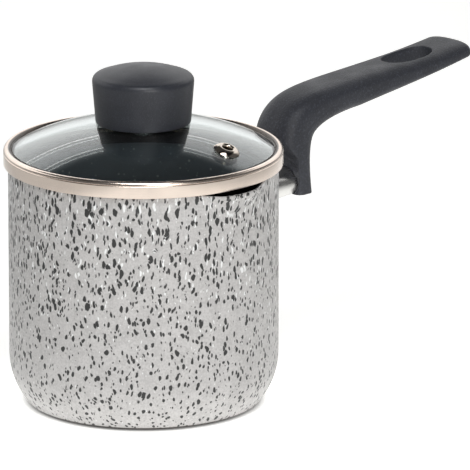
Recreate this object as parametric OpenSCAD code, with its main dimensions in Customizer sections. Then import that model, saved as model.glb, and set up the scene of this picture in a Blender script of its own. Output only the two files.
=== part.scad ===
// Small saucepan with a pouring lip, a moulded handle and a domed glass lid.
// Z is up. The origin is the centre of the base, on the surface the pan stands on.
// The handle points along +X and the pouring lip along -Y.

/* [Pan] */
// Outside diameter of the pan wall
pan_d = 120; // [100:1:200]
// Height of the pan rim above the table
pan_h = 108.5; // [85:0.5:160]
// Thickness of the pan wall
wall_t = 2.5; // [1.5:0.1:4]
// Thickness of the pan floor
floor_t = 3.5; // [2.5:0.1:6]
// Distance from the wall to the edge of the flat underside
flat_inset = 8.5; // [5:0.5:18]
// Outside radius of the curve between the wall and the base
corner_r = 33; // [20:1:45]

/* [Pouring lip] */
// How far the lip stands out beyond the wall
lip_reach = 5.5; // [3:0.5:8]
// Half of the angle that the lip takes up on the rim
lip_half_angle = 20; // [14:1:28]
// Height over which the lip grows out of the wall
lip_depth = 18; // [12:1:30]
// How far the lip's edge lies below the rim
lip_dip = 1.5; // [0.5:0.1:3]

/* [Base plate] */
// Distance from the edge of the flat underside to the steel plate
plate_inset = 3; // [2:0.5:12]
// Thickness of the steel plate
plate_t = 1.4; // [1:0.1:2.4]
// How far the plate stands proud of the base
plate_proud = 0.5; // [0.3:0.1:0.9]

/* [Handle fixing] */
// Distance of the handle screw's axis below the pan rim
fix_drop = 22.5; // [18:0.5:45]
// Distance from the pan wall to the handle's seat
fix_reach = 25.5; // [18:0.5:40]
// How far the middle of the flame guard lies below the screw
guard_drop = 1.2; // [0:0.1:2]
// Width of the flame guard at the handle
guard_w = 21.6; // [18:0.2:28]
// Height of the flame guard at the handle
guard_h = 13.8; // [11.4:0.2:17]
// How much larger the flame guard is at the pan, all round
guard_flare = 1.8; // [0:0.1:3]
// Sheet thickness of the flame guard
guard_t = 0.8; // [0.5:0.1:1.2]
// Depth of the handle's seat for the flame guard
guard_seat = 1.6; // [1:0.1:2.4]
// Plastic left on each side of that seat
seat_wall = 1.7; // [1.2:0.1:3]

/* [Handle] */
// How far the handle reaches beyond the pan wall
handle_reach = 136; // [110:1:170]
// Rise from the handle screw to the middle of the handle's tip
grip_rise = 42.3; // [34:0.1:56]
// Width of the handle at its tip
grip_tip_w = 26; // [22:1:34]
// Thickness of the handle where the hand holds it
grip_t = 14; // [11:0.5:18]
// Thickness of the handle's shoulder, where the root turns into the grip
shoulder_t = 18; // [13:0.5:21]
// Thickness of the handle at its tip
grip_tip_t = 7; // [6:0.5:10]
// Thickness of the handle's root
root_t = 11; // [9:0.5:14]
// Length of the hanging slot
slot_l = 27; // [20:1:36]
// Width of the hanging slot
slot_w = 15; // [8:0.5:16]
// Distance from the tip to the middle of the hanging slot
slot_inset = 30; // [26:1:45]

/* [Lid] */
// Thickness of the glass
glass_t = 4; // [3:0.5:5]
// Rise of the glass from its edge to its middle
dome_rise = 14.9; // [10:0.1:24]
// How far the rim band overhangs the pan wall
rim_overhang = 2.05; // [1:0.05:4]
// Height of the rim band, with its roll
band_h = 7.5; // [6.5:0.1:10]
// Sheet thickness of the rim band
rim_t = 0.6; // [0.4:0.1:1]
// Radius of the roll that holds the glass
roll_r = 1.6; // [1.2:0.1:2.4]
// Length of the skirt that drops into the pan
skirt_h = 4.5; // [2:0.5:10]
// Radial clearance between the skirt and the pan
skirt_gap = 0.6; // [0.3:0.1:1.5]

/* [Knob] */
// Diameter of the knob at its widest
knob_d = 45.2; // [36:0.2:54]
// How much the knob widens from its foot upwards, on the radius
knob_flare = 1.4; // [0:0.1:3]
// Height of the knob
knob_h = 25.6; // [20:0.2:36]
// Rise of the knob's domed top over its whole width
knob_dome_h = 5; // [2:0.5:7]
// Radius of the knob's upper edge
knob_edge_r = 3; // [1:0.2:4]
// Thread diameter of the knob screw
knob_screw_d = 4; // [3:0.5:5]

/* [Steam vent] */
// Distance of the vent from the edge of the glass
vent_inset = 15.4; // [12:0.1:20]
// Angle of the vent from the pouring lip towards the handle
vent_angle = 11; // [-180:1:180]
// Diameter of the vent's steel flange
vent_d = 12; // [8:0.5:14]
// Diameter of the hole that the steam passes through
vent_bore = 4.4; // [2:0.2:5]

/* [Hidden] */
$fn = 96;
hole_gap = 0.2;      // clearance round a screw shank or a stud, on the radius
fit_gap = 0.05;      // clearance round a pressed or moulded-in piece, on the radius
seat_gap = 0.3;      // clearance round a piece that lies in a recess
over = 1;            // how far a cut runs past the face it opens
lap = 0.01;          // how far two shapes that are joined into one overlap

// Pan
pan_r = pan_d / 2;
bore_r = pan_r - wall_t;
flat_r = pan_r - flat_inset;
plate_r = flat_r - plate_inset;
corner_x = pan_r - corner_r;
corner_z = plate_proud + sqrt(pow(corner_r, 2) - pow(flat_r - corner_x, 2));
floor_z = plate_proud + floor_t;
// Circle through both ends of the lip on the rim and through its outermost point.
lip_half_w = pan_r * sin(lip_half_angle);
lip_sag = lip_reach + pan_r * (1 - cos(lip_half_angle));
lip_r = (pow(lip_half_w, 2) + pow(lip_sag, 2)) / (2 * lip_sag);
lip_y = pan_r + lip_reach - lip_r;
lip_top = pan_h - lip_dip;

// Handle fixing
fix_z = pan_h - fix_drop;
guard_z = fix_z - guard_drop;
seat_x = pan_r + fix_reach;              // floor of the guard's seat in the handle
guard_room = 0.4;                        // clearance inside the guard
guard_bite = 3;                          // how far a shape runs into the round wall before it is trimmed
foot_t = 2.5;                            // thickness of the bracket's foot
foot_w = guard_w - 2 * guard_t - guard_room;
foot_h = guard_h - 2 * guard_t - guard_room;
post_d = guard_h - 2 * (guard_t + guard_drop + guard_room);   // post of the bracket
post_end = seat_x - guard_room;
screw_d = post_d / 2.25;
screw_head_d = screw_d * 1.85;
screw_head_h = screw_d * 0.6;
nut_w = screw_d * 1.4;                   // width across the flats of the square nut
nut_t = screw_d * 0.7;
nut_inset = 3;                           // distance from the post's end to the nut
nut_x = post_end - nut_inset - nut_t;    // inner face of the nut
stud_head_d = (foot_w - post_d) / 2 - 2 * seat_gap;
stud_head_h = 1.2;
stud_d = stud_head_d * 0.65;
stud_y = (post_d + stud_head_d) / 2 + seat_gap;   // place of each stud beside the post
thread_gap = 0.02;                       // clearance between a screw and its thread

// Handle
washer_t = 1;
washer_d = screw_head_d + 1;
grip_root_w = guard_w + 2 * seat_wall;
root_lift = 2.3;                         // height of the root's underside above the guard's
root_z = guard_z - guard_h / 2 + root_lift;
root_x = seat_x - guard_seat + root_t / 2;
tip_x = pan_r + handle_reach;
tip_z = fix_z + grip_rise;
web_t = 4;                               // plastic left between the seat and the screw head
sink_x = seat_x + web_t;                 // floor of the screw's counterbore

// Lid
rim_z = pan_h;                           // the lid rests on the pan's rim
rim_r = pan_r + rim_overhang;
hem_t = 2 * rim_t;                       // the sheet is folded double where it rests
edge_gap = 1;                            // between the edge of the glass and the band
glass_r = rim_r - rim_t - edge_gap;
dome_in_r = (pow(glass_r, 2) + pow(dome_rise, 2)) / (2 * dome_rise);
dome_r = dome_in_r + glass_t;
dome_z = rim_z + hem_t - sqrt(pow(dome_in_r, 2) - pow(glass_r, 2));
skirt_r = bore_r - skirt_gap;
band_top = rim_z + band_h;
glass_hole_d = knob_screw_d + 5;

function dome_top(r) = dome_z + sqrt(pow(dome_r, 2) - pow(r, 2));
function dome_under(r) = dome_z + sqrt(pow(dome_in_r, 2) - pow(r, 2));

// Knob
knob_r = knob_d / 2;
knob_foot_r = knob_r - knob_flare;
knob_wall = 3.2;
knob_gap = 0.1;                          // between the knob's foot and the glass
knob_roof = 10;                          // height of the solid top of the knob
knob_z = dome_top(knob_foot_r - knob_wall) + knob_gap;
knob_top = knob_z + knob_h;
crown_r = (pow(knob_r, 2) + pow(knob_dome_h, 2)) / (2 * knob_dome_h);
crown_z = knob_top - crown_r;            // centre of the domed top
edge_x = knob_r - knob_edge_r;           // centre of the rounded edge, touching side and top
edge_z = crown_z + sqrt(pow(crown_r - knob_edge_r, 2) - pow(edge_x, 2));
insert_d = knob_screw_d + 3;
insert_l = 10;
post_r = insert_d / 2 + 3;               // central post of the knob
gasket_t = 1;
gasket_r = post_r + 2;
post_z = dome_z + dome_r + gasket_t;     // underside of the knob's post
knob_washer_r = gasket_r - 0.5;
knob_washer_t = 1;
knob_head_h = knob_screw_d * 0.6;
knob_screw_end = 2.5;                    // distance from the screw's end to the insert's
lower_gasket_z = dome_under(glass_hole_d / 2) - gasket_t;
washer_z = lower_gasket_z - knob_washer_t;

// Steam vent
vent_r = glass_r - vent_inset;
vent_tilt = asin(vent_r / dome_r);
vent_wall = 0.6;                         // sheet thickness of the eyelet
vent_tube_r = vent_bore / 2 + vent_wall;
vent_hole_r = vent_tube_r + 0.3;
vent_lift = 0.1;                         // between the flange and the domed glass
vent_flange_h = 1.5;
vent_crown_r = (pow(vent_d / 2, 2) + pow(vent_flange_h, 2)) / (2 * vent_flange_h);
vent_ring_r = vent_tube_r + 2;
vent_ring_t = 0.8;
vent_curl = 0.9;                         // reach of the edge turned over the ring
vent_end = -glass_t - vent_lift - vent_ring_t - vent_wall;    // inner end of the eyelet

// ---- shapes used more than once ----

// Points of an oval with squared shoulders; a power of 2 gives an ellipse.
function oval(half_w, half_h, power, steps) = [
    for (i = [0 : steps - 1])
        let (a = 360 * i / steps, c = cos(a), s = sin(a))
            [half_w * sign(c) * pow(abs(c), 2 / power), half_h * sign(s) * pow(abs(s), 2 / power)]
];

// Cylinder along +X from x0 to x1, on the handle screw's axis unless told otherwise.
module along_x(x0, x1, r, y = 0, z = fix_z) {
    translate([x0, y, z]) rotate([0, 90, 0]) cylinder(h = x1 - x0, r = r);
}

// Puts its children on the dome over the vent, with Z pointing out of the glass.
module at_vent() {
    translate([0, 0, dome_z])
        rotate([0, 0, vent_angle - 90]) rotate([0, vent_tilt, 0]) translate([0, 0, dome_r]) children();
}

// Rectangle in the half section of a round piece.
module band(r_in, r_out, z0, z1) {
    translate([r_in, z0]) square([r_out - r_in, z1 - z0]);
}

// Cross slot for a screwdriver, cut downwards from z = 0.
module cross_slot(size) {
    for (a = [0, 90]) rotate([0, 0, a])
        translate([-size / 2, -size / 10, -size / 4]) cube([size, size / 5, size / 4 + over]);
}

// ---- pan ----

module pan_profile() {
    // Half section of the outside: straight wall, large corner arc, flat underside.
    translate([0, corner_z]) square([pan_r, pan_h - corner_z]);
    intersection() {
        union() {
            translate([corner_x, corner_z]) circle(r = corner_r);
            translate([0, plate_proud]) square([corner_x + lap, corner_z]);
        }
        translate([0, plate_proud]) square([pan_r, corner_z - plate_proud + lap]);
    }
}

module pan_hollow_profile() {
    translate([0, corner_z]) square([bore_r, pan_h - corner_z + over]);
    intersection() {
        union() {
            translate([corner_x, corner_z]) circle(r = corner_r - wall_t);
            translate([0, floor_z]) square([corner_x + lap, corner_z]);
        }
        translate([0, floor_z]) square([pan_r, corner_z - floor_z + lap]);
    }
}

module lip_cone(inset, top) {
    // The lip widens upwards from nothing to its full reach at the rim.
    slope = (lip_reach + wall_t) / lip_depth;
    h = top - (pan_h - lip_depth);
    r_top = lip_r - inset;
    translate([0, -lip_y, pan_h - lip_depth])
        cylinder(h = h, r1 = r_top - slope * lip_depth, r2 = r_top - slope * (lip_depth - h));
}

module pan_body() {
    color("#C4C2C0") difference() {
        union() {
            rotate_extrude($fn = 180) pan_profile();
            lip_cone(0, lip_top);
        }
        rotate_extrude($fn = 180) pan_hollow_profile();
        lip_cone(wall_t, pan_h + over);
        // pocket for the base plate
        translate([0, 0, plate_proud - over])
            cylinder(h = plate_t - plate_proud + over, r = plate_r + fit_gap);
    }
}

module base_plate() {
    color("#9A9A98") cylinder(h = plate_t, r = plate_r);
}

// ---- handle fixing ----

module handle_bracket() {
    color("#B8B8B6") difference() {
        union() {
            // oval foot that lies against the pan wall
            translate([pan_r - guard_bite, 0, guard_z]) rotate([90, 0, 90])
                linear_extrude(foot_t + guard_bite) polygon(oval(foot_w / 2, foot_h / 2, 2, 48));
            along_x(pan_r, post_end, post_d / 2);
        }
        cylinder(h = pan_h, r = pan_r + fit_gap, $fn = 180);
        // bore for the screw, and the slot that the square nut slides into from below
        along_x(nut_x - 1.5 * screw_d, post_end + over, screw_d / 2 + hole_gap);
        translate([nut_x - fit_gap, -nut_w / 2 - fit_gap, fix_z - post_d])
            cube([nut_t + 2 * fit_gap, nut_w + 2 * fit_gap, post_d + nut_w / 2 + fit_gap]);
        for (side = [-1, 1])
            along_x(pan_r - guard_bite, pan_r + foot_t + over, stud_d / 2 + fit_gap, side * stud_y, guard_z);
    }
}

module bracket_studs() {
    color("#C9C9C7") difference() {
        for (side = [-1, 1]) {
            along_x(pan_r - guard_bite, pan_r + foot_t + stud_head_h, stud_d / 2, side * stud_y, guard_z);
            along_x(pan_r + foot_t, pan_r + foot_t + stud_head_h, stud_head_d / 2, side * stud_y, guard_z);
        }
        cylinder(h = pan_h, r = pan_r, $fn = 180);
    }
}

module bracket_nut() {
    color("#A8A8A4") difference() {
        translate([nut_x, -nut_w / 2, fix_z - nut_w / 2]) cube([nut_t, nut_w, nut_w]);
        along_x(nut_x - over, nut_x + nut_t + over, screw_d / 2 + thread_gap);
    }
}

// Solid oval horn between the pan and the handle, reduced all round by inset.
module guard_solid(inset, x0, x1) {
    hull() {
        for (end = [[x0, guard_flare], [x1 - lap, 0]])
            translate([end[0], 0, guard_z]) rotate([90, 0, 90])
                linear_extrude(lap)
                    polygon(oval(guard_w / 2 + end[1] - inset, guard_h / 2 + end[1] - inset, 2, 48));
    }
}

module flame_guard() {
    color("#D5D5D3") difference() {
        guard_solid(0, pan_r - guard_bite, seat_x);
        guard_solid(guard_t, pan_r - guard_bite, seat_x + lap);
        cylinder(h = pan_h, r = pan_r + 2 * fit_gap, $fn = 180);
    }
}

// ---- handle ----

function bezier(p, t) =
    pow(1 - t, 3) * p[0] + 3 * pow(1 - t, 2) * t * p[1] + 3 * (1 - t) * pow(t, 2) * p[2] + pow(t, 3) * p[3];

// Middle line of the handle in the XZ plane: up the root, round the shoulder, along the grip.
bend_z = tip_z - 11.3;
shoulder = [root_x + (tip_x - root_x) / 3, bend_z + 2.8];
pull = (tip_x - shoulder[0]) * 0.366;    // how far each end of the grip keeps its direction
root_line = [
    [root_x + 0.9, root_z - 3],
    [root_x - 8, root_z + 28],
    [root_x - 3, bend_z],
    shoulder
];
grip_line = [
    shoulder,
    shoulder + pull * [1, 0.1],
    [tip_x, tip_z] - pull * [1, 0.17],
    [tip_x, tip_z]
];
root_steps = 18;
grip_steps = 16;
tip_steps = 7;
ring_points = 36;
shoulder_u = 0.42;   // where along the root the handle is thickest
tip_round = 7;       // length over which the tip's corners are rounded

function line_at(u) = u < 1 ? bezier(root_line, u) : bezier(grip_line, u - 1);
function slope_at(u) =
    let (d = line_at(min(u + 0.002, 2)) - line_at(max(u - 0.002, 0))) d / norm(d);
function mix(a, b, t) = a + (b - a) * t;
function smooth(t) = t * t * (3 - 2 * t);

// Half width and half thickness of the handle at a place on its line.
function half_w(u) = mix(grip_root_w, grip_tip_w, smooth(max(u - 1, 0))) / 2;
function half_t(u) = 0.5 * (
    u < shoulder_u ? mix(root_t, shoulder_t, smooth(u / shoulder_u)) :
    u < 1 ? mix(shoulder_t, grip_t, smooth((u - shoulder_u) / (1 - shoulder_u))) :
    mix(grip_t, grip_tip_t, u - 1)
);

// Rounding of the tip, from 1 down to a small flat at the very end.
function tip_factor(u) =
    let (left = norm(line_at(2) - line_at(u)))
        left > tip_round ? 1 : pow(1 - pow(1 - left / tip_round, 2.6) * 0.93, 1 / 2.6);

stations = concat(
    [for (i = [0 : root_steps - 1]) i / root_steps],
    [for (i = [0 : grip_steps - 1]) 1 + 0.9 * i / grip_steps],
    [for (i = [0 : tip_steps]) 2 - 0.1 * pow(1 - i / tip_steps, 2)]
);

function ring(u) =
    let (c = line_at(u), d = slope_at(u), f = tip_factor(u))
        [for (p = oval(half_w(u) * f, half_t(u) * mix(1, f, 0.5), 2.5, ring_points))
            [c[0] - d[1] * p[1], p[0], c[1] + d[0] * p[1]]];

module swept(rings) {
    n = len(rings[0]);
    last = len(rings) - 1;
    polyhedron(
        points = [for (r = rings) each r],
        faces = concat(
            [[for (i = [0 : n - 1]) i]],
            [for (k = [0 : last - 1], i = [0 : n - 1])
                each [[k * n + i, (k + 1) * n + (i + 1) % n, k * n + (i + 1) % n],
                      [k * n + i, (k + 1) * n + i, (k + 1) * n + (i + 1) % n]]],
            [[for (i = [n - 1 : -1 : 0]) last * n + i]]
        )
    );
}

slot_at = line_at(2) - slot_inset * slope_at(1.7);
slot_tilt = atan2(slope_at(1.7)[1], slope_at(1.7)[0]);

module handle_grip() {
    color("#3F4044") difference() {
        swept([for (u = stations) ring(u)]);
        // level underside
        translate([root_x - root_t, -grip_root_w, root_z - 2 * root_t])
            cube([2 * root_t, 2 * grip_root_w, 2 * root_t]);
        // seat for the flame guard
        guard_solid(-seat_gap, pan_r - guard_bite, seat_x);
        // screw hole and counterbore
        along_x(seat_x - over, sink_x + over, screw_d / 2 + hole_gap);
        along_x(sink_x, sink_x + 2 * root_t, washer_d / 2 + seat_gap);
        // hanging slot
        translate([slot_at[0], 0, slot_at[1]]) rotate([0, -slot_tilt, 0])
            translate([0, 0, -grip_t]) linear_extrude(2 * grip_t) polygon(oval(slot_l / 2, slot_w / 2, 2.3, 48));
    }
}

module handle_screw() {
    color("#8E8E8C") difference() {
        union() {
            along_x(nut_x - screw_d, sink_x + washer_t, screw_d / 2);
            along_x(sink_x + washer_t, sink_x + washer_t + screw_head_h, screw_head_d / 2);
        }
        translate([sink_x + washer_t + screw_head_h, 0, fix_z]) rotate([0, 90, 0]) cross_slot(screw_head_d * 0.6);
    }
}

module handle_washer() {
    color("#A0A09E") difference() {
        along_x(sink_x, sink_x + washer_t, washer_d / 2);
        along_x(sink_x - over, sink_x + washer_t + over, screw_d / 2 + hole_gap);
    }
}

// ---- lid ----

module lid_glass() {
    color("#CFE0DC", 0.4) difference() {
        rotate_extrude($fn = 180) difference() {
            intersection() {
                translate([0, dome_z]) circle(r = dome_r, $fn = 720);
                translate([0, rim_z]) square([glass_r, dome_r]);
            }
            translate([0, dome_z]) circle(r = dome_in_r, $fn = 720);
            translate([-over, rim_z]) square([glass_hole_d / 2 + over, dome_r]);
        }
        at_vent() translate([0, 0, -3 * glass_t]) cylinder(h = 5 * glass_t, r = vent_hole_r);
    }
}

module lid_rim() {
    roll_x = rim_r - roll_r;
    color("#D8CEC6") rotate_extrude($fn = 180) {
        // straight band
        translate([rim_r - rim_t, rim_z]) square([rim_t, band_h - roll_r + lap]);
        // roll over the edge of the glass
        difference() {
            translate([roll_x, band_top - roll_r]) circle(r = roll_r, $fn = 64);
            translate([roll_x, band_top - roll_r]) circle(r = roll_r - rim_t, $fn = 64);
            translate([roll_x - 2 * roll_r, band_top - 3 * roll_r]) square([4 * roll_r, 2 * roll_r]);
            intersection() {
                translate([0, dome_z]) circle(r = dome_r, $fn = 720);
                square([glass_r, dome_z + 2 * dome_r]);
            }
        }
        // folded hem that rests on the pan
        translate([skirt_r - rim_t, rim_z]) square([rim_r - skirt_r + rim_t, hem_t]);
        // skirt that drops into the pan
        translate([skirt_r - rim_t, rim_z - skirt_h]) square([rim_t, skirt_h + lap]);
    }
}

module knob_outline() {
    // Half section of the knob's outside: flared side, rounded edge, shallow dome.
    polygon([[0, knob_z], [knob_foot_r, knob_z], [knob_r, edge_z], [0, edge_z]]);
    translate([edge_x, edge_z]) circle(r = knob_edge_r, $fn = 64);
    intersection() {
        translate([0, crown_z]) circle(r = crown_r, $fn = 360);
        band(0, edge_x * crown_r / (crown_r - knob_edge_r), edge_z - over, knob_top + over);
    }
}

module lid_knob() {
    color("#3F4044") rotate_extrude($fn = 120) difference() {
        knob_outline();
        // hollow between the wall and the central post
        translate([post_r, knob_z - over]) square([knob_foot_r - knob_wall - post_r, knob_h - knob_roof + over]);
        // foot of the post, above the gasket
        translate([-over, knob_z - over]) square([post_r + 2 * over, post_z - knob_z + over]);
        // hole for the threaded insert
        translate([-over, knob_z - over])
            square([insert_d / 2 + fit_gap + over, post_z - knob_z + insert_l + over]);
    }
}

module knob_insert() {
    color("#B5924C") translate([0, 0, post_z]) difference() {
        cylinder(h = insert_l, r = insert_d / 2);
        translate([0, 0, -over]) cylinder(h = insert_l - 1, r = knob_screw_d / 2 + thread_gap);
    }
}

module knob_gasket() {
    // between the knob and the glass, with a spigot that lines the hole in the glass
    color("#5A5A5C") rotate_extrude() {
        difference() {
            band(knob_screw_d / 2 + hole_gap, gasket_r, dome_top(gasket_r) - over, post_z);
            translate([0, dome_z]) circle(r = dome_r, $fn = 720);
        }
        band(knob_screw_d / 2 + hole_gap, glass_hole_d / 2 - hole_gap, dome_under(glass_hole_d / 2), post_z);
    }
}

module glass_gasket() {
    color("#5A5A5C") translate([0, 0, lower_gasket_z]) difference() {
        cylinder(h = gasket_t, r = knob_washer_r);
        translate([0, 0, -over]) cylinder(h = gasket_t + 2 * over, r = knob_screw_d / 2 + hole_gap);
        translate([0, 0, dome_z - lower_gasket_z]) difference() {
            sphere(r = dome_r + glass_t);
            sphere(r = dome_in_r, $fn = 360);
        }
    }
}

module knob_washer() {
    color("#B4B4B2") translate([0, 0, washer_z]) difference() {
        cylinder(h = knob_washer_t, r = knob_washer_r);
        translate([0, 0, -over]) cylinder(h = knob_washer_t + 2 * over, r = knob_screw_d / 2 + hole_gap);
    }
}

module knob_screw() {
    color("#8E8E8C") difference() {
        union() {
            translate([0, 0, washer_z - knob_head_h]) cylinder(h = knob_head_h, r = knob_screw_d * 0.95);
            translate([0, 0, washer_z - lap])
                cylinder(h = post_z - washer_z + insert_l - knob_screw_end, r = knob_screw_d / 2);
        }
        translate([0, 0, washer_z - knob_head_h]) mirror([0, 0, 1]) cross_slot(knob_screw_d * 1.1);
    }
}

// ---- steam vent ----

module vent_eyelet() {
    color("#C8C8C6") at_vent() rotate_extrude($fn = 64) {
        // tube through the glass
        band(vent_bore / 2, vent_tube_r, vent_end, vent_flange_h);
        // domed flange on the outside
        intersection() {
            band(vent_bore / 2, vent_d / 2, vent_lift, vent_lift + vent_flange_h);
            translate([0, vent_lift + vent_flange_h - vent_crown_r]) circle(r = vent_crown_r, $fn = 180);
        }
        // edge turned over the inner ring
        band(vent_bore / 2, vent_tube_r + vent_curl, vent_end, vent_end + vent_wall - lap);
    }
}

module vent_ring() {
    color("#B4B4B2") at_vent() translate([0, 0, vent_end + vent_wall]) difference() {
        cylinder(h = vent_ring_t, r = vent_ring_r);
        translate([0, 0, -over]) cylinder(h = vent_ring_t + 2 * over, r = vent_tube_r + fit_gap);
    }
}

pan_body();
base_plate();
handle_bracket();
bracket_studs();
bracket_nut();
flame_guard();
handle_grip();
handle_screw();
handle_washer();
lid_glass();
lid_rim();
lid_knob();
knob_insert();
knob_screw();
knob_washer();
knob_gasket();
glass_gasket();
vent_eyelet();
vent_ring();
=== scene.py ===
import math

import bmesh
import bpy
import numpy as np
from bpy.props import FloatProperty, FloatVectorProperty, IntProperty, PointerProperty
from mathutils import Matrix, Vector


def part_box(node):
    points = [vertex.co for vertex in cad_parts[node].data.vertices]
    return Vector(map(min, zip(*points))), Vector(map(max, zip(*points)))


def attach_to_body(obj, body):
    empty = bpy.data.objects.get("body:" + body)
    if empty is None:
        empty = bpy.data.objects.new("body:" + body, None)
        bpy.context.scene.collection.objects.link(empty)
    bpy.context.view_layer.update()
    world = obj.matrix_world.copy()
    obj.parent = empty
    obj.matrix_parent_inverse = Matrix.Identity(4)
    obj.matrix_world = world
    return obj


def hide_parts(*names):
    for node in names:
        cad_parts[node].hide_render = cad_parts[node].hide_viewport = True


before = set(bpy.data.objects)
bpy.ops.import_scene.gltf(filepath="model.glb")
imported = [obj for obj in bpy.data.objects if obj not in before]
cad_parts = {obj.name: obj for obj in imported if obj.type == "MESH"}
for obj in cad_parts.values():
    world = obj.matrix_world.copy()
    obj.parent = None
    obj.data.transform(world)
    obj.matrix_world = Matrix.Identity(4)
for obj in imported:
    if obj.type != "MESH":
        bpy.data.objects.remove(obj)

bl_info = {
    "name": "Saucepan With Glass Lid",
    "version": (1, 0, 0),
    "blender": (4, 5, 0),
    "location": "3D View > Sidebar > Saucepan",
    "description": "Makes a small saucepan with a pouring lip, a moulded handle and a domed glass lid",
    "category": "Add Mesh",
}

MM = 0.001

# ---- places read from the frame ----

PAN_LOW, PAN_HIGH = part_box("pan_body")
PLATE_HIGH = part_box("base_plate")[1]
GUARD_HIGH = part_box("flame_guard")[1]
GRIP_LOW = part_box("handle_grip")[0]
SCREW_LOW, SCREW_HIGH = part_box("handle_screw")
WASHER_LOW, WASHER_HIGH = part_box("handle_washer")
GLASS_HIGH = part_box("lid_glass")[1]
RIM_LOW, RIM_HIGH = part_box("lid_rim")
KNOB_LOW, KNOB_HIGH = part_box("lid_knob")
INSERT_LOW, INSERT_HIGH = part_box("knob_insert")
SCREW_Z = (SCREW_LOW.z + SCREW_HIGH.z) / 2
# the guard's sections are drawn from just inside the wall
GUARD_START = PAN_HIGH.x - 3 * MM


def size(name, description, default):
    """A length in metres that the sidebar shows with its unit."""
    return FloatProperty(
        name=name, description=description, default=default, min=0, precision=5, unit="LENGTH"
    )


def angle(name, description, degrees):
    """An angle that the sidebar shows in degrees."""
    return FloatProperty(
        name=name, description=description, default=math.radians(degrees), subtype="ANGLE"
    )


def linear(code):
    """The linear colour of an sRGB hex code."""
    parts = [int(code[i:i + 2], 16) / 255 for i in (1, 3, 5)]
    return tuple(c / 12.92 if c <= 0.04045 else ((c + 0.055) / 1.055) ** 2.4 for c in parts)


def colour(name, description, code):
    """A colour that the sidebar shows as a swatch."""
    return FloatVectorProperty(
        name=name, description=description, default=linear(code), subtype="COLOR", min=0, max=1, size=3
    )


class PanSizes(bpy.types.PropertyGroup):
    """Sizes of the pan itself."""

    radius: size("Radius", "Outside radius of the wall", PAN_HIGH.x)
    height: size("Rim height", "Height of the rim above the table", PAN_HIGH.z)
    wall: size("Wall", "Thickness of the wall", 2.5 * MM)
    floor: size("Floor", "Thickness of the floor", 3.5 * MM)
    flat_inset: size("Flat inset", "Distance from the wall to the flat underside", 8.5 * MM)
    corner: size("Corner", "Outside radius between the wall and the base", 33 * MM)
    rim_round: size("Rim rounding", "Radius of the rim's edges", 1.1 * MM)
    lip_reach: size("Lip reach", "How far the pouring lip stands out", 5.5 * MM)
    lip_depth: size("Lip depth", "Height over which the lip grows", 18 * MM)
    lip_dip: size("Lip dip", "How far the lip's edge lies below the rim", 1.5 * MM)
    lip_angle: angle("Lip half angle", "Half of the lip's angle on the rim", 20)
    hole: size("Hole", "Diameter of each hole in the base plate", 3.2 * MM)
    ring_pitch: size("Ring pitch", "Distance between the rings of holes", 8.6 * MM)
    rings: IntProperty(name="Rings", description="Rings of holes in the base plate", default=5, min=1)


class HandleSizes(bpy.types.PropertyGroup):
    """Sizes of the handle and the flame guard."""

    reach: size("Reach", "How far the handle reaches beyond the pan wall", 136 * MM)
    rise: size("Rise", "Rise from the screw to the middle of the tip", 42.3 * MM)
    root_width: size("Root width", "Width at the root", 25 * MM)
    tip_width: size("Tip width", "Width at the tip", 27.2 * MM)
    root: size("Root", "Thickness of the root", 11 * MM)
    shoulder: size("Shoulder", "Thickness of the shoulder", 19.6 * MM)
    grip: size("Grip", "Thickness where the hand holds it", 14 * MM)
    tip: size("Tip", "Thickness at the tip", 7 * MM)
    slot_length: size("Slot length", "Length of the hanging slot", 27.6 * MM)
    slot_width: size("Slot width", "Width of the hanging slot", 15.8 * MM)
    slot_inset: size("Slot inset", "Distance from the tip to the middle of the slot", 30.8 * MM)
    guard_width: size("Guard width", "Width of the guard at the handle", 21.6 * MM)
    guard_height: size("Guard height", "Height of the guard at the handle", 13.8 * MM)
    guard_flare: size("Guard flare", "How much larger the guard is at the pan, all round", 1.8 * MM)
    guard_drop: size("Guard drop", "Distance from the screw's axis down to the guard's", 1.2 * MM)
    landing: size("Landing", "Width of the flat face round the guard", 4 * MM)
    guard_sheet: size("Guard sheet", "Sheet thickness of the guard", 0.8 * MM)
    voxel: size("Fineness", "Spacing of the moulded surface's mesh", 0.36 * MM)


class LidSizes(bpy.types.PropertyGroup):
    """Sizes of the glass, its rim, the knob and the vent."""

    glass: size("Glass", "Thickness of the glass", 4 * MM)
    dome_rise: size("Dome rise", "Rise of the glass from its edge to its middle", 14.9 * MM)
    sheet: size("Rim sheet", "Sheet thickness of the band", 0.6 * MM)
    roll: size("Roll", "Radius of the roll that holds the glass", 1.6 * MM)
    skirt_gap: size("Skirt gap", "Clearance between the skirt and the pan", 0.6 * MM)
    knob_flare: size("Knob flare", "How much the knob widens upwards, on the radius", 1.4 * MM)
    knob_dome: size("Knob dome", "Rise of the knob's domed top", 5 * MM)
    knob_edge: size("Knob edge", "Radius of the knob's upper edge", 3 * MM)
    vent_inset: size("Vent inset", "From the edge of the glass to the vent", 15.4 * MM)
    vent_width: size("Vent width", "Diameter of the vent's flange", 12 * MM)
    vent_bore: size("Vent bore", "Diameter of the vent's hole", 4.4 * MM)
    vent_angle: angle("Vent angle", "From the pouring lip towards the handle", 11)


class Finishes(bpy.types.PropertyGroup):
    """Colours of the finishes."""

    coat: colour("Coating", "Ground colour of the outside coating", "#C3C1C0")
    fleck: colour("Flecks", "Dark flecks in the outside coating", "#313131")
    inside: colour("Inside", "Non-stick coating inside", "#3C4046")
    plastic: colour("Plastic", "Moulded handle and knob", "#2F3138")
    # painted reflection: the satin steel's warm beige tint stands in for warm surroundings that it reflects
    band: colour("Band", "Satin steel of the lid's rim", "#EADBCF")
    steel: colour("Steel", "Polished steel", "#D8D7D4")
    glass: colour("Glass", "Tint of the glass", "#EDF4F3")


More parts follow.
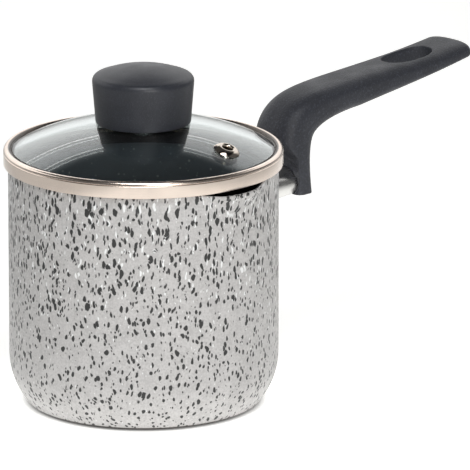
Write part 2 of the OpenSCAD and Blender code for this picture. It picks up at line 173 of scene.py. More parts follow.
class StageSettings(bpy.types.PropertyGroup):
    """Floor, light and camera."""

    azimuth: angle("Azimuth", "Camera's angle round the pan", -44)
    elevation: angle("Elevation", "Camera's angle above the horizon", 15.43)
    distance: size("Distance", "From the camera to the point it looks at", 3.84)
    lens: FloatProperty(name="Lens", description="Focal length", default=662.5, unit="CAMERA")
    target: FloatVectorProperty(
        name="Target", description="Point that the camera looks at",
        default=(0.02919, -0.02819, 0.07527), subtype="XYZ",
    )
    floor: colour("Floor", "Colour of the floor", "#F6F6F4")


class SaucepanSettings(bpy.types.PropertyGroup):
    """Everything that the sidebar shows."""

    pan: PointerProperty(type=PanSizes)
    handle: PointerProperty(type=HandleSizes)
    lid: PointerProperty(type=LidSizes)
    finish: PointerProperty(type=Finishes)
    stage: PointerProperty(type=StageSettings)


def settings():
    """What the sidebar shows for this scene."""
    return bpy.context.scene.saucepan


# ---- outlines and meshes ----


def arc(cx, cz, radius, start, end, steps):
    """Points on an arc, angles in degrees."""
    return [
        (cx + radius * math.cos(math.radians(a)), cz + radius * math.sin(math.radians(a)))
        for a in np.linspace(start, end, steps + 1)
    ]


def rounded(points, steps=6):
    """Closed outline of (x, y, corner radius) points with its corners rounded."""
    made = []
    for i, (x, y, radius) in enumerate(points):
        here = np.array([x, y])
        if radius <= 0:
            made.append((x, y))
            continue
        before = np.array(points[i - 1][:2]) - here
        after = np.array(points[(i + 1) % len(points)][:2]) - here
        before, after = before / np.linalg.norm(before), after / np.linalg.norm(after)
        half = math.acos(max(-1, min(1, before @ after))) / 2
        middle = here + (before + after) / np.linalg.norm(before + after) * radius / math.sin(half)
        start = here + before * radius / math.tan(half) - middle
        end = here + after * radius / math.tan(half) - middle
        turn = math.atan2(start[0] * end[1] - start[1] * end[0], start @ end)
        for t in np.linspace(0, turn, steps + 1):
            c, s = math.cos(t), math.sin(t)
            made.append((middle[0] + c * start[0] - s * start[1], middle[1] + s * start[0] + c * start[1]))
    return made


def refined(points, longest):
    """The same line with points added, so that no stretch is longer than asked."""
    made = [points[0]]
    for a, b in zip(points, points[1:]):
        parts = max(1, math.ceil(math.dist(a, b) / longest))
        made += [tuple(a[k] + (b[k] - a[k]) * j / parts for k in (0, 1)) for j in range(1, parts + 1)]
    return made


def new_object(name, verts, edges, faces):
    """A mesh object at the origin."""
    mesh = bpy.data.meshes.new(name)
    mesh.from_pydata(verts, edges, faces)
    obj = bpy.data.objects.new(name, mesh)
    bpy.context.scene.collection.objects.link(obj)
    return obj


def smooth(obj, sharp_degrees=35):
    """Shades the piece smooth, but for edges sharper than asked."""
    obj.data.shade_smooth()
    obj.data.set_sharp_from_angle(angle=math.radians(sharp_degrees))


def outward(obj, sharp_degrees=35):
    """Joins points that coincide, turns the faces outwards and shades them smooth."""
    work = bmesh.new()
    work.from_mesh(obj.data)
    bmesh.ops.remove_doubles(work, verts=work.verts, dist=1e-7)
    bmesh.ops.recalc_face_normals(work, faces=work.faces)
    work.to_mesh(obj.data)
    work.free()
    smooth(obj, sharp_degrees)
    return obj


def new_piece(name, verts, faces, sharp_degrees=35):
    """A mesh object with outward faces, smooth but for edges sharper than asked."""
    obj = new_object(name, [tuple(map(float, v)) for v in verts], [], faces)
    return outward(obj, sharp_degrees)


def turned(name, outline, segments=192, closed=True, shift=None, sharp_degrees=35):
    """A round piece about Z from an outline of (radius, height). shift(r, z, angle) may move its points."""
    verts, rings = [], []
    for r, z in outline:
        if r < 1e-9:
            rings.append([len(verts)] * segments)
            verts.append((0, 0, z))
            continue
        rings.append(list(range(len(verts), len(verts) + segments)))
        for k in range(segments):
            a = 2 * math.pi * k / segments
            rr, zz = shift(r, z, a) if shift else (r, z)
            verts.append((rr * math.cos(a), rr * math.sin(a), zz))
    faces = []
    pairs = list(zip(rings, rings[1:] + rings[:1])) if closed else list(zip(rings, rings[1:]))
    for low, high in pairs:
        for k in range(segments):
            m = (k + 1) % segments
            corners = [low[k], low[m], high[m], high[k]]
            corners = [c for i, c in enumerate(corners) if c != corners[i - 1]]
            if len(corners) > 2:
                faces.append(corners)
    return new_piece(name, verts, faces, sharp_degrees)


def finished(obj, modifiers=()):
    """Adds the modifiers, each (kind, settings), and leaves their result as the piece's plain mesh."""
    for kind, values in modifiers:
        added = obj.modifiers.new(kind.title(), kind)
        for name, value in values.items():
            setattr(added, name, value)
    bpy.context.view_layer.update()
    seen = obj.evaluated_get(bpy.context.evaluated_depsgraph_get())
    mesh = bpy.data.meshes.new_from_object(seen)
    obj.modifiers.clear()
    old, obj.data = obj.data, mesh
    bpy.data.meshes.remove(old)
    return obj


def cut(obj, *cutters):
    """Takes the cutters out of the piece, and removes them."""
    for tool in cutters:
        finished(obj, [("BOOLEAN", {"operation": "DIFFERENCE", "object": tool, "solver": "EXACT"})])
        bpy.data.objects.remove(tool)
    return obj


def moved(obj, matrix):
    """Moves the piece's mesh, not its object."""
    obj.data.transform(matrix)
    return obj


def paint(obj, *materials):
    """Fills the piece's material slots in this order."""
    obj.data.materials.clear()
    for material in materials:
        obj.data.materials.append(material)
    return obj


def attach(obj, body, slot, *nodes):
    """The piece rides on a body and stands for CAD nodes, which it hides. The slot argument is not used."""
    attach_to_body(obj, body)
    if nodes:
        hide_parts(*nodes)
    return obj


# ---- node trees ----

NOISE = "ShaderNodeTexNoise"
CELLS = "ShaderNodeTexVoronoi"
MATH = "ShaderNodeMath"
VECTOR = "ShaderNodeVectorMath"
RANGE = "ShaderNodeMapRange"
MIX = "ShaderNodeMix"
SPLIT = "ShaderNodeSeparateXYZ"
JOIN = "ShaderNodeCombineXYZ"
BUMP = "ShaderNodeBump"
ON_POINTS = "GeometryNodeInstanceOnPoints"
# settings that several nodes share
SMOOTH = {"interpolation_type": "SMOOTHSTEP"}
COLOUR = {"data_type": "RGBA"}


def add(tree, kind, *inputs, named=None, **values):
    """Adds a node with its settings and links. inputs fill the sockets in order and named fills them
    by name, each with a value, a socket or a node. A node stands for its first output, and only the
    sockets that the node's settings use are counted."""
    made = tree.nodes.new(kind)
    for name, value in values.items():
        setattr(made, name, value)
    ready = [socket for socket in made.inputs if socket.enabled]
    pairs = list(zip(ready, inputs)) + [(made.inputs[name], value) for name, value in (named or {}).items()]
    for socket, value in pairs:
        if isinstance(value, bpy.types.Node):
            value = next(out for out in value.outputs if out.enabled)
        if isinstance(value, bpy.types.NodeSocket):
            tree.links.new(value, socket)
        else:
            socket.default_value = value
    return made


def opaque(rgb, factor=1.0):
    """A colour made lighter or darker by the factor, with full alpha."""
    return (*(min(1.0, c * factor) for c in rgb[:3]), 1.0)


class Finish:
    """A material being made: its tree, object coordinates in millimetres and shader."""

    def __init__(self, name, base, **sockets):
        self.material = bpy.data.materials.new(name)
        self.material.use_nodes = True
        self.tree = self.material.node_tree
        self.tree.nodes.clear()
        place = self.add("ShaderNodeTexCoord")
        self.mm = self.add(VECTOR, place.outputs["Object"], named={"Scale": 1 / MM}, operation="SCALE")
        self.shader = self.add("ShaderNodeBsdfPrincipled", opaque(base))
        for socket, value in sockets.items():
            self.shader.inputs[socket.replace("_", " ")].default_value = value
        self.output = self.add("ShaderNodeOutputMaterial", self.shader)
        self.material.diffuse_color = opaque(base)

    def add(self, kind, *inputs, **values):
        return add(self.tree, kind, *inputs, **values)

    def wire(self, socket, node):
        """Leads a node to one of the shader's sockets."""
        self.tree.links.new(next(out for out in node.outputs if out.enabled), self.shader.inputs[socket])


def blots(f, source, cell_mm, edge, seed, small, large, crowd=0.0):
    """Blots scattered one to a cell, 1 inside and 0 outside. small and large are the blots' radii as
    shares of a cell, and crowd is added to them from place to place."""
    place = f.add(VECTOR, source, (seed, seed * 1.7, seed * 0.6), operation="ADD")
    cells = f.add(CELLS, place, named={"Scale": 1 / cell_mm, "Randomness": 0.85})
    pick = f.add("ShaderNodeSeparateColor", cells.outputs["Color"])
    reach = f.add(MATH, pick, large - small, small, operation="MULTIPLY_ADD")
    reach = f.add(MATH, reach, crowd, operation="ADD")
    depth = f.add(MATH, reach, cells.outputs["Distance"], operation="SUBTRACT")
    return f.add(RANGE, depth, -edge, edge, 0.0, 1.0, **SMOOTH)


def swayed(f, source, wander_mm, amount):
    """source moved about by noise of that size, so that round blots come out bent or slanted."""
    wander = f.add(NOISE, f.mm, 1 / wander_mm, 2.0)
    off = f.add(VECTOR, wander.outputs["Color"], (0.5, 0.5, 0.5), operation="SUBTRACT")
    return f.add(VECTOR, off, amount, source, operation="MULTIPLY_ADD")


def granite_coating(base, dark):
    """Fluoropolymer coat sprayed on aluminium, light grey with spattered charcoal blots that ran a
    little downwards near the rim. It is satin, and the blots stand a little proud. Along the bottom
    edge it turns dark brown, a painted contact shadow."""
    f = Finish("granite_spatter_coat", base, Roughness=0.5, Specular_IOR_Level=0.45)
    bent = swayed(f, swayed(f, f.mm, 9.0, (5.0, 5.0, 3.0)), 2.4, (0.9, 0.9, 1.4))
    # squeezing z draws the blots out: 1:1.6 at the base and 1:3 at the rim
    part = f.add(SPLIT, bent)
    squared = f.add(MATH, part.outputs["Z"], part.outputs["Z"], operation="MULTIPLY")
    height = f.add(MATH, part.outputs["Z"], 0.62, operation="MULTIPLY")
    height = f.add(MATH, squared, -0.0014, height, operation="MULTIPLY_ADD")
    drawn = f.add(JOIN, part.outputs["X"], part.outputs["Y"], height)
    # more spatter landed on some parts than on others, and more on the top than low down. The pale blots
    # also grow towards the top, where they are partly painted glints.
    real = f.add(SPLIT, f.mm)
    rise = f.add(RANGE, real.outputs["Z"], 10.0, 100.0, 0.0, 1.0, **SMOOTH)
    patchy = f.add(NOISE, f.mm, 1 / 10.0, 1.0)
    crowd = f.add(MATH, patchy, 0.2, -0.1, operation="MULTIPLY_ADD")
    large = blots(f, drawn, 2.05, 0.05, 0.0, 0.17, 0.4, crowd)
    fine = f.add(MATH, rise, 0.2, crowd, operation="MULTIPLY_ADD")
    small = blots(f, drawn, 1.4, 0.07, 31.0, -0.5, 0.33, fine)
    spots = f.add(MATH, large, small, operation="MAXIMUM")
    thin = f.add(VECTOR, drawn, (1.25, 1.25, 0.9), operation="MULTIPLY")
    more = f.add(MATH, rise, 0.28, -0.22, operation="MULTIPLY_ADD")
    pale_flecks_and_glints = blots(f, thin, 1.5, 0.07, 77.0, -0.25, 0.42, more)
    # the ground is clouded, and speckled by the pigment
    cloud = f.add(NOISE, f.mm, 1 / 7.0, 4.0)
    speckle = f.add(NOISE, f.mm, 1 / 0.9, 3.0)
    tone = f.add(MIX, 0.65, cloud, speckle, data_type="FLOAT")
    tone = f.add(RANGE, tone, 0.36, 0.64, 0.0, 1.0, **SMOOTH)
    ground = f.add(MIX, tone, opaque(base, 0.88), opaque(base, 1.1), **COLOUR)
    # pale blots: partly white flecks in the coat and partly painted glints on its bumps, more of them
    # towards the top
    ground = f.add(MIX, pale_flecks_and_glints, ground, opaque(linear("#F1F2F2")), **COLOUR)
    ground = f.add(MIX, spots, ground, opaque(dark), **COLOUR)
    # painted shade: the coat turns dark brown below 1.2 mm, fading out by 1.7 mm, a painted contact shadow
    # along the bottom edge
    painted_base_shade = f.add(RANGE, real.outputs["Z"], 1.7, 1.2, 0.0, 1.0)
    f.wire("Base Color", f.add(MIX, painted_base_shade, ground, opaque(linear("#332B25")), **COLOUR))
    f.wire("Roughness", f.add(RANGE, spots, 0.0, 1.0, 0.46, 0.38))
    grain = f.add(NOISE, f.mm, 1 / 0.7, 2.0)
    grain = f.add(MATH, grain, 0.35, spots, operation="MULTIPLY_ADD")
    f.wire("Normal", f.add(BUMP, 0.6, 0.05 * MM, named={"Height": grain}))
    return f.material


def inside_coating(base):
    """Black non-stick coat, sprayed and baked: dull satin with a few fine pale specks."""
    f = Finish("black_nonstick_coat", base, Roughness=0.5, Specular_IOR_Level=0.3)
    fine = blots(f, f.mm, 1.9, 0.08, 5.0, -0.6, 0.34)
    large = blots(f, f.mm, 3.4, 0.08, 19.0, -0.8, 0.2)
    speck = f.add(MATH, fine, large, operation="MAXIMUM")
    speck = f.add(MATH, speck, 0.35, operation="MULTIPLY")
    f.wire("Base Color", f.add(MIX, speck, opaque(base), opaque(linear("#8C8C88")), **COLOUR))
    patches = f.add(NOISE, f.mm, 1 / 4.0, 3.0)
    f.wire("Roughness", f.add(RANGE, patches, 0.3, 0.7, 0.44, 0.58))
    orange_peel = f.add(NOISE, f.mm, 1 / 0.8, 2.0)
    f.wire("Normal", f.add(BUMP, 0.5, 0.03 * MM, named={"Height": orange_peel}))
    return f.material


def moulded_plastic(name, base, grain_mm, depth_mm, rough):
    """Phenolic resin pressed in a spark-textured mould: dull charcoal with a fine even grain, whose
    peaks are painted lighter as painted glints."""
    f = Finish(name, base, Roughness=rough, Specular_IOR_Level=0.5)
    grain = f.add(NOISE, f.mm, 1 / grain_mm, 3.0, 0.62)
    pits = f.add(CELLS, f.mm, named={"Scale": 1 / (grain_mm * 1.3)}, feature="SMOOTH_F1")
    relief = f.add(MATH, pits.outputs["Distance"], 0.5, grain, operation="MULTIPLY_ADD")
    handled = f.add(NOISE, f.mm, 1 / 16.0, 3.0)
    worn = f.add(RANGE, handled, 0.35, 0.7, 0.0, 1.0, **SMOOTH)
    peak_glints = f.add(RANGE, grain, 0.5, 0.68, 0.0, 0.6, **SMOOTH)
    ground = f.add(MIX, worn, opaque(base, 0.85), opaque(base, 1.04), **COLOUR)
    # painted glints: the grain's peaks are coloured up to 2.4 times lighter
    f.wire("Base Color", f.add(MIX, peak_glints, ground, opaque(base, 2.4), **COLOUR))
    f.wire("Roughness", f.add(RANGE, worn, 0.0, 1.0, rough + 0.05, rough - 0.06))
    f.wire("Normal", f.add(BUMP, 0.7, depth_mm * MM, named={"Height": relief}))
    return f.material


def round_brushed(name, base, rough, line_mm, depth_mm, lap_mm=-1.0):
    """Stainless steel polished while it turned: fine lines round the axis, and faint handling marks.
    Within lap_mm of the axis it is painted near black, a painted shade where it laps on to the glass."""
    f = Finish(name, base, Metallic=1.0, Roughness=rough)
    part = f.add(SPLIT, f.mm)
    flat = f.add(JOIN, part.outputs["X"], part.outputs["Y"])
    away = f.add(VECTOR, flat, operation="LENGTH")
    ringed = f.add(JOIN, away, 0.0, part.outputs["Z"])
    lines = f.add(NOISE, ringed, 1 / line_mm, 3.0)
    smudge = f.add(NOISE, f.mm, 1 / 11.0, 4.0)
    tone = f.add(MIX, 0.5, lines, smudge, data_type="FLOAT")
    shine = f.add(RANGE, tone, 0.35, 0.65, 0.0, 1.0, **SMOOTH)
    plain_tone = f.add(MIX, shine, opaque(base, 0.9), opaque(base), **COLOUR)
    # painted shade: near black within lap_mm of the axis, where the steel laps on to the glass
    lap_shade = f.add(RANGE, away, lap_mm - 0.25, lap_mm + 0.25, 1.0, 0.0)
    f.wire("Base Color", f.add(MIX, lap_shade, plain_tone, opaque(base, 0.12), **COLOUR))
    f.wire("Roughness", f.add(RANGE, tone, 0.3, 0.7, rough * 1.35, rough * 0.8))
    f.wire("Normal", f.add(BUMP, 0.4, depth_mm * MM, named={"Height": lines}))
    return f.material


def drawn_steel(name, base, rough):
    """Drawn and polished metal, bare stainless or plated: nearly a mirror, with faint smears."""
    f = Finish(name, base, Metallic=1.0, Roughness=rough)
    along = f.add(VECTOR, f.mm, (0.35, 1.0, 1.0), operation="MULTIPLY")
    smear = f.add(NOISE, along, 1 / 6.0, 5.0)
    tone = f.add(RANGE, smear, 0.35, 0.7, 0.0, 1.0, **SMOOTH)
    f.wire("Base Color", f.add(MIX, tone, opaque(base, 0.93), opaque(base), **COLOUR))
    f.wire("Roughness", f.add(RANGE, smear, 0.3, 0.75, rough * 0.7, rough * 1.6))
    grain = f.add(NOISE, f.mm, 1 / 0.35, 2.0)
    f.wire("Normal", f.add(BUMP, 0.5, 0.004 * MM, named={"Height": grain}))
    return f.material


def cast_metal(name, base, rough, grain_mm=0.8, depth_mm=0.05):
    """Metal as it left the die or the lathe: dull, with a fine grain and uneven tone."""
    f = Finish(name, base, Metallic=1.0, Roughness=rough)
    grain = f.add(NOISE, f.mm, 1 / grain_mm, 4.0)
    stain = f.add(NOISE, f.mm, 1 / 5.0, 3.0)
    tone = f.add(RANGE, stain, 0.3, 0.7, 0.0, 1.0, **SMOOTH)
    f.wire("Base Color", f.add(MIX, tone, opaque(base, 0.85), opaque(base, 1.08), **COLOUR))
    f.wire("Roughness", f.add(RANGE, grain, 0.3, 0.7, rough - 0.08, rough + 0.1))
    f.wire("Normal", f.add(BUMP, 0.6, depth_mm * MM, named={"Height": grain}))
    return f.material


def silicone(base):
    """Moulded silicone rubber: soft sheen, slightly cloudy, with fine dust in its surface."""
    f = Finish("silicone_gasket", base, Roughness=0.6, Subsurface_Weight=0.1, Subsurface_Scale=0.6 * MM)
    cloud = f.add(NOISE, f.mm, 1 / 2.5, 3.0)
    tone = f.add(RANGE, cloud, 0.3, 0.7, 0.0, 1.0, **SMOOTH)
    f.wire("Base Color", f.add(MIX, tone, opaque(base, 0.85), opaque(base, 1.15), **COLOUR))
    dust = f.add(NOISE, f.mm, 1 / 0.4, 2.0)
    f.wire("Normal", f.add(BUMP, 0.4, 0.02 * MM, named={"Height": dust}))
    return f.material


def toughened_glass(base):
    """Float glass bent into a dome and toughened: clear with a green cast, and a faint waviness
    from the furnace rollers. Light from the lamps passes straight through it."""
    f = Finish("toughened_glass", base, Roughness=0.0, IOR=1.5, Transmission_Weight=1.0)
    film = f.add(NOISE, f.mm, 1 / 7.0, 4.0)
    f.wire("Roughness", f.add(RANGE, film, 0.45, 0.8, 0.0, 0.03, **SMOOTH))
    wave = f.add(NOISE, f.mm, 1 / 22.0, 1.0)
    f.wire("Normal", f.add(BUMP, 0.25, 0.03 * MM, named={"Height": wave}))
    clear = f.add("ShaderNodeBsdfTransparent", opaque(base, 0.97))
    path = f.add("ShaderNodeLightPath")
    both = f.add("ShaderNodeMixShader", path.outputs["Is Shadow Ray"], f.shader, clear)
    f.tree.links.new(both.outputs[0], f.output.inputs["Surface"])
    return f.material


def white_table(base, azimuth):
    """Matt white laminate whose face glows as painted light, in a patch that faces the camera. It fades in
    over the front of the table, is full behind the pan and fades out at the sides and far behind. The glow
    is brightest close to the pan, a painted light over the pan's shadow, and off below it, a painted
    contact shadow."""
    f = Finish("white_laminate", base, Roughness=0.9, Emission_Color=opaque(base))
    plain_tone = f.add(NOISE, f.mm, 1 / 60.0, 3.0)
    f.wire("Base Color", f.add(MIX, plain_tone, opaque(base, 0.985), opaque(base), **COLOUR))
    c, s = math.cos(azimuth), math.sin(azimuth)
    depth = f.add(VECTOR, f.mm, (-s, c, 0), operation="DOT_PRODUCT")
    side = f.add(VECTOR, f.mm, (c, s, 0), operation="DOT_PRODUCT")
    # painted light: the table glows in a patch that fades towards the front, far behind and unevenly to
    # left and right
    near = f.add(RANGE, depth, -840.0, -120.0, 0.0, 0.56, **SMOOTH)
    far = f.add(RANGE, depth, 900.0, 1300.0, 1.0, 0.0, **SMOOTH)
    left = f.add(RANGE, side, -230.0, -82.0, 0.0, 1.0, **SMOOTH)
    right = f.add(RANGE, side, 120.0, 400.0, 1.0, 0.0, **SMOOTH)
    patch = f.add(MATH, f.add(MATH, near, far, operation="MULTIPLY"), left, operation="MULTIPLY")
    patch = f.add(MATH, patch, right, operation="MULTIPLY")
    away = f.add(VECTOR, f.mm, operation="LENGTH")
    # painted contact shadow: the glow is off within 48 mm of the axis, under the pan
    under = f.add(RANGE, away, 48.0, 57.0, 0.0, 1.0, **SMOOTH)
    # painted light: the glow is up to 1.5 times stronger close to the pan, filling the shadow round it
    glow_near_pan = f.add(RANGE, away, 58.0, 95.0, 1.5, 1.0, **SMOOTH)
    lit = f.add(MATH, under, glow_near_pan, operation="MULTIPLY")
    f.wire("Emission Strength", f.add(MATH, patch, lit, operation="MULTIPLY"))
    return f.material


MATERIALS = {}


def material(name):
    """Makes each finish once."""
    if name not in MATERIALS:
        c = settings().finish
        # radius in mm inside which the rim's steel gets a painted shade, where it laps on to the glass
        lap = RIM_HIGH.x / MM - 2.1
        makers = {
            "granite": lambda: granite_coating(c.coat, c.fleck),
            "inside": lambda: inside_coating(c.inside),
            "handle": lambda: moulded_plastic("textured_phenolic", c.plastic, 0.8, 0.24, 0.5),
            "knob": lambda: moulded_plastic("satin_phenolic", c.plastic, 0.4, 0.03, 0.42),
            "band": lambda: round_brushed("satin_rim_steel", c.band, 0.2, 0.3, 0.006, lap),
            "plate": lambda: round_brushed("turned_base_steel", opaque(c.steel, 0.8), 0.32, 0.35, 0.02),
            "polished": lambda: drawn_steel("polished_sheet_steel", c.steel, 0.16),
            # painted light: the guard's steel is 1.2 times lighter than the other polished steel, to lift
            # its dark reflections
            "ferrule": lambda: drawn_steel("satin_ferrule_steel", opaque(c.steel, 1.2), 0.26),
            "zinc": lambda: drawn_steel("zinc_plated_steel", linear("#B9BCBE"), 0.24),
            "aluminium": lambda: cast_metal("cast_aluminium", linear("#B4B6B8"), 0.42),
            "brass": lambda: cast_metal("machined_brass", linear("#C79A4B"), 0.28, 0.3, 0.01),
            "eyelet": lambda: drawn_steel("bright_eyelet_steel", linear("#CFC4B8"), 0.12),
            "silicone": lambda: silicone(linear("#6A6A6B")),
            "glass": lambda: toughened_glass(c.glass),
        }
        MATERIALS[name] = makers[name]()
    return MATERIALS[name]


def coat_node(name, finish):
    """Gives a CAD node one of the finishes."""
    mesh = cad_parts[name].data
    mesh.materials.clear()
    mesh.materials.append(material(finish))


# ---- pan ----


def smooth_max(a, b, width):
    """The larger of two lengths, with the change from one to the other blended over a width."""
    share = max(0.0, min(1.0, 0.5 + 0.5 * (a - b) / width))
    return b + (a - b) * share + width * share * (1 - share)


def lip_shift(pan):
    """Moves the points of the wall out into the pouring lip, which faces -Y, and down to its dip."""
    half = pan.radius * math.sin(pan.lip_angle)
    sag = pan.lip_reach + pan.radius * (1 - math.cos(pan.lip_angle))
    lip_r = (half**2 + sag**2) / (2 * sag)
    middle = pan.radius + pan.lip_reach - lip_r
    slope = (pan.lip_reach + pan.wall) / pan.lip_depth
    blend = 3 * MM

    def shift(r, z, around):
        depth = pan.height - z
        if depth > pan.lip_depth or r < pan.radius - pan.wall - 0.1 * MM:
            return r, z
        turn = around + math.pi / 2
        reach = lip_r - slope * depth
        under = reach**2 - (middle * math.sin(turn)) ** 2
        if under <= 0 or math.cos(turn) <= 0:
            return r, z
        lip = middle * math.cos(turn) + math.sqrt(under)
        out = smooth_max(pan.radius, lip, blend) - pan.radius
        if depth > pan.lip_depth - 4 * MM:
            out *= (pan.lip_depth - depth) / (4 * MM)
        near = max(0.0, 1 - depth / pan.lip_depth)
        dip = pan.lip_dip * min(1.0, out / pan.lip_reach * 1.3) * near
        return r + out, z - dip

    return shift


def pan_outline(pan):
    """From the middle of the plate's pocket, out, up the wall, over the rim and down to the floor."""
    base = PAN_LOW.z
    flat = pan.radius - pan.flat_inset
    pocket = PLATE_HIGH.x + 0.05 * MM
    cx = pan.radius - pan.corner
    cz = base + math.sqrt(pan.corner**2 - (flat - cx) ** 2)
    floor = base + pan.floor
    inner = pan.corner - pan.wall
    start = -math.degrees(math.asin((cz - base) / pan.corner))
    inner_start = -math.degrees(math.asin((cz - floor) / inner))
    bore = pan.radius - pan.wall
    lift = pan.height - pan.rim_round
    bevel = 0.25 * MM
    outside = [(0, PLATE_HIGH.z), (pocket, PLATE_HIGH.z), (pocket, base + bevel), (pocket + bevel, base)]
    outside += [(flat - 0.8 * MM, base)] + arc(cx, cz, pan.corner, start + 1.5, 0, 22)
    outside += refined([(pan.radius, cz), (pan.radius, lift)], 2.2 * MM)[1:]
    outside += arc(pan.radius - pan.rim_round, lift, pan.rim_round, 0, 90, 6)[1:]
    inside = arc(bore + pan.rim_round, lift, pan.rim_round, 90, 180, 6)
    inside += refined([(bore, lift), (bore, cz)], 2.2 * MM)[1:]
    inside += arc(cx, cz, inner, 0, inner_start, 22)[1:]
    inside += refined([inside[-1], (0, floor)], 6 * MM)[1:]
    return outside, inside


class SAUCEPAN_OT_pan(bpy.types.Operator):
    """Makes the pan with its pouring lip, coated outside and inside"""

    bl_idname = "saucepan.pan"
    bl_label = "Pan"

    def execute(self, context):
        pan = settings().pan
        outside, inside = pan_outline(pan)
        obj = turned("pan_shell", outside + inside, 288, closed=False, shift=lip_shift(pan))
        paint(obj, material("granite"), material("inside"), material("aluminium"))
        bore = pan.radius - pan.wall / 2
        for face in obj.data.polygons:
            middle = face.center
            away = math.hypot(middle.x, middle.y)
            if face.normal.z < -0.9 and away < PLATE_HIGH.x:
                face.material_index = 2
            elif middle.z > PLATE_HIGH.z + 1 * MM and (
                face.normal.x * middle.x + face.normal.y * middle.y < -1e-6 * away
                or (face.normal.z > 0.5 and away < bore)
            ):
                face.material_index = 1
        attach(obj, "pan", "granite_coating", "pan_body")
        return {"FINISHED"}


def new_tree(name, **kinds):
    """A geometry tree with Geometry in and out, and inputs of these names and kinds."""
    tree = bpy.data.node_groups.new(name, "GeometryNodeTree")
    tree.interface.new_socket("Geometry", in_out="INPUT", socket_type="NodeSocketGeometry")
    for title, kind in kinds.items():
        tree.interface.new_socket(title.replace("_", " "), in_out="INPUT", socket_type="NodeSocket" + kind)
    tree.interface.new_socket("Geometry", in_out="OUTPUT", socket_type="NodeSocketGeometry")
    return tree, add(tree, "NodeGroupInput")


def close_tree(tree, shape, given):
    """Ends a geometry tree with its instances made real and its material set."""
    real = add(tree, "GeometryNodeRealizeInstances", shape)
    painted = add(tree, "GeometryNodeSetMaterial", real, named={"Material": given.outputs["Material"]})
    add(tree, "NodeGroupOutput", painted)
    return tree


def hole_points(tree, given):
    """A point for each hole: ring number n, from 1, has 6 n holes, so that they are evenly spread."""
    ring_in = add(tree, "GeometryNodeRepeatInput")
    ring_out = add(tree, "GeometryNodeRepeatOutput")
    ring_in.pair_with_output(ring_out)
    tree.links.new(given.outputs["Rings"], ring_in.inputs["Iterations"])
    number = add(tree, MATH, ring_in.outputs["Iteration"], 1.0, operation="ADD")
    holes = add(tree, MATH, number, 6.0, operation="MULTIPLY")
    away = add(tree, MATH, number, given.outputs["Ring pitch"], operation="MULTIPLY")
    ring = add(tree, "GeometryNodeMeshCircle", holes, away)
    join = add(tree, "GeometryNodeJoinGeometry", ring)
    tree.links.new(ring_in.outputs["Geometry"], join.inputs[0])
    tree.links.new(join.outputs[0], ring_out.inputs["Geometry"])
    return add(tree, "GeometryNodeMeshToPoints", ring_out.outputs["Geometry"])


def perforated_tree():
    """Cuts rings of round holes through the geometry that comes in."""
    tree, given = new_tree(
        "perforated_plate", Rings="Int", Ring_pitch="Float", Hole_radius="Float", Depth="Float",
        Material="Material",
    )
    punch = add(
        tree, "GeometryNodeMeshCylinder",
        named={"Vertices": 20, "Radius": given.outputs["Hole radius"], "Depth": given.outputs["Depth"]},
    )
    points = hole_points(tree, given)
    every = add(tree, ON_POINTS, named={"Points": points, "Instance": punch.outputs["Mesh"]})
    punches = add(tree, "GeometryNodeRealizeInstances", every)
    holed = add(tree, "GeometryNodeMeshBoolean", given.outputs["Geometry"], punches, operation="DIFFERENCE")
    return close_tree(tree, holed, given)


def plug_tree():
    """Sets a copy of the geometry that comes in at every hole."""
    tree, given = new_tree("base_plugs", Rings="Int", Ring_pitch="Float", Material="Material")
    points = hole_points(tree, given)
    every = add(tree, ON_POINTS, named={"Points": points, "Instance": given.outputs["Geometry"]})
    return close_tree(tree, every, given)


def with_nodes(obj, tree, **inputs):
    """Runs a geometry tree on the piece with these inputs, and keeps the result as its plain mesh."""
    added = obj.modifiers.new("Nodes", "NODES")
    added.node_group = tree
    for item in tree.interface.items_tree:
        key = item.name.lower().replace(" ", "_")
        if item.in_out == "INPUT" and key in inputs:
            added[item.identifier] = inputs[key]
    return finished(obj)


class SAUCEPAN_OT_base(bpy.types.Operator):
    """Makes the perforated steel plate pressed into the base, and the aluminium that fills its holes"""

    bl_idname = "saucepan.base"
    bl_label = "Base plate"

    def execute(self, context):
        pan = settings().pan
        radius, thick = PLATE_HIGH.x, PLATE_HIGH.z
        bevel = 0.3 * MM
        outline = [(0, 0)] + refined([(0, 0), (radius - bevel, 0)], 7 * MM)[1:]
        outline += [(radius, bevel), (radius, thick), (0, thick)]
        obj = turned("base_plate_perforated", outline, 128, closed=False, sharp_degrees=25)
        rings = {"rings": pan.rings, "ring_pitch": pan.ring_pitch}
        with_nodes(
            obj, perforated_tree(), hole_radius=pan.hole / 2, depth=3 * thick, material=material("plate"),
            **rings,
        )
        smooth(obj, 25)
        attach(obj, "pan", "base_steel", "base_plate")
        # the pan's aluminium stands in each hole, set back a little from the plate's face
        gap, back = 0.02 * MM, 0.25 * MM
        side, top = pan.hole / 2 - gap, thick - gap
        plug = rounded([(0, back, 0), (side, back, 0.2 * MM), (side, top, 0), (0, top, 0)], 2)
        plugs = turned("base_plate_plugs", plug, 16, closed=False)
        with_nodes(plugs, plug_tree(), material=material("aluminium"), **rings)
        smooth(plugs)
        attach(plugs, "pan", "cast_aluminium")
        return {"FINISHED"}


# ---- guard and handle ----


def oval(half_w, half_h, power, steps):
    """Points of an oval with squared shoulders; a power of 2 gives an ellipse."""
    a = np.linspace(0, 2 * math.pi, steps, endpoint=False)
    sides = zip((half_w, half_h), (np.cos(a), np.sin(a)))
    return np.stack([half * np.sign(c) * np.abs(c) ** (2 / power) for half, c in sides], axis=1)


